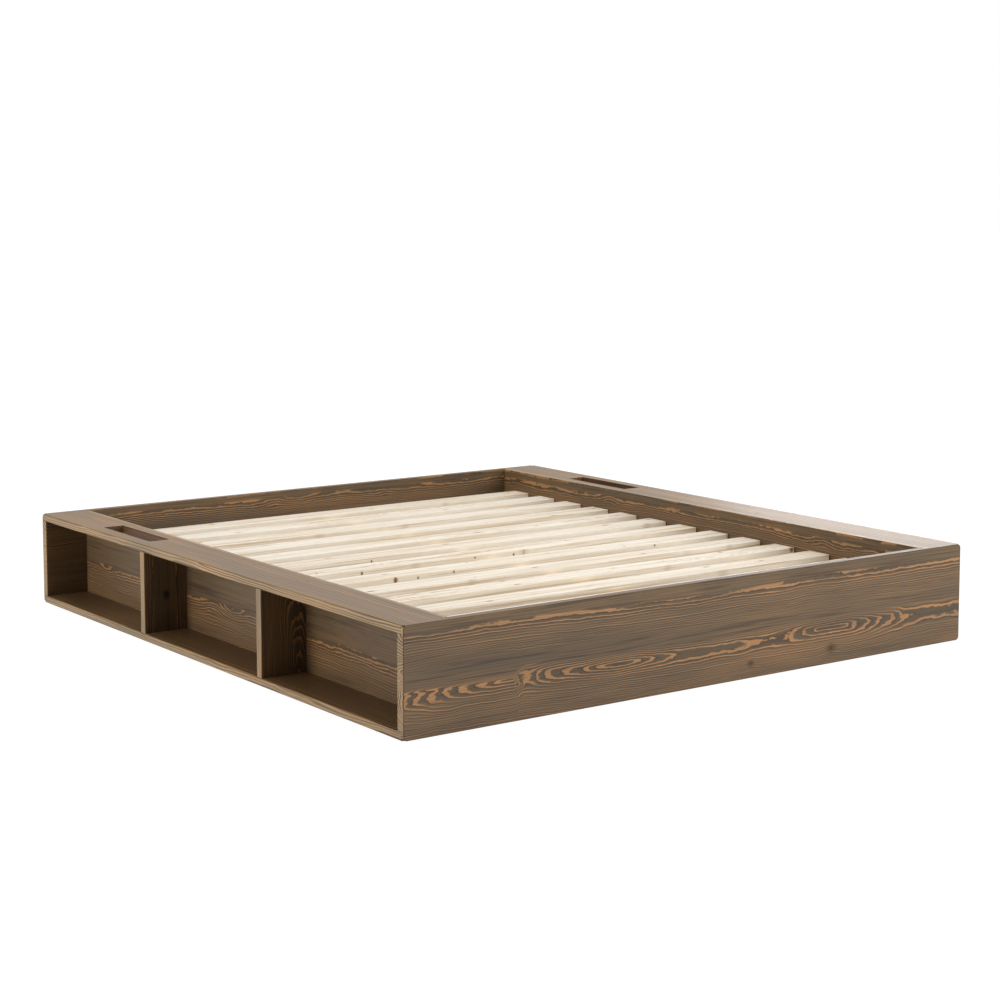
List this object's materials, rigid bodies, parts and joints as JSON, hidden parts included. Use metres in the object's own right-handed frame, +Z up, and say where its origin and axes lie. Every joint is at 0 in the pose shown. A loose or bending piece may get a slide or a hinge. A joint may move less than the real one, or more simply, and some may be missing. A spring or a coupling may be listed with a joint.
{
  "type": "storage bed frame",
  "caption": "Low wooden bed frame with open compartments along both sides, slotted top boards and a loose slatted base that lifts out.",
  "frame": {"origin": "on the floor, under the middle of the frame", "axes": "+X across the bed to the right as seen from the foot, +Y to the head, +Z up"},
  "size_m": [1.914, 2.06, 0.28],
  "materials": {
    "stained_pine": "brown-stained brushed pine, satin",
    "slat_pine": "pale planed pine with small knots",
    "rail_pine": "raw planed pine",
    "dowel_beech": "raw turned hardwood",
    "zinc_steel": "zinc-plated steel",
    "glide_plastic": "dark moulded plastic",
    "webbing": "woven off-white tape"
  },
  "bodies": {
    "bed_frame": {"head_panel": "stained_pine", "foot_panel": "stained_pine", "left_top_board": "stained_pine", "right_top_board": "stained_pine", "left_bottom_board": "stained_pine", "right_bottom_board": "stained_pine", "left_side_board": "stained_pine", "right_side_board": "stained_pine", "left_divider_head": "stained_pine", "left_divider_foot": "stained_pine", "right_divider_head": "stained_pine", "right_divider_foot": "stained_pine", "left_slat_rail": "rail_pine", "right_slat_rail": "rail_pine", "centre_beam": "rail_pine", "beam_hanger_head": "zinc_steel", "beam_hanger_foot": "zinc_steel", "centre_leg_head": "rail_pine", "centre_leg_foot": "rail_pine", "leg_glides": "glide_plastic", "leg_studs": "zinc_steel", "left_corner_bracket_head": "zinc_steel", "left_corner_bracket_foot": "zinc_steel", "right_corner_bracket_head": "zinc_steel", "right_corner_bracket_foot": "zinc_steel", "ledge_dowels": "dowel_beech", "edge_dowels": "dowel_beech", "divider_dowels": "dowel_beech", "divider_screws": "zinc_steel", "rail_screws": "zinc_steel", "corner_screws": "zinc_steel", "hanger_screws": "zinc_steel"},
    "slat_base": {"slat_01": "slat_pine", "slat_02": "slat_pine", "slat_03": "slat_pine", "slat_04": "slat_pine", "slat_05": "slat_pine", "slat_06": "slat_pine", "slat_07": "slat_pine", "slat_08": "slat_pine", "slat_09": "slat_pine", "slat_10": "slat_pine", "slat_11": "slat_pine", "slat_12": "slat_pine", "slat_13": "slat_pine", "left_slat_tape": "webbing", "right_slat_tape": "webbing"}
  },
  "joints": [
    {"name": "slat_base_lift", "type": "slide", "parent": "bed_frame", "child": "slat_base", "axis": [0, 0, 1], "range_m": [0, 0.1]}
  ]
}
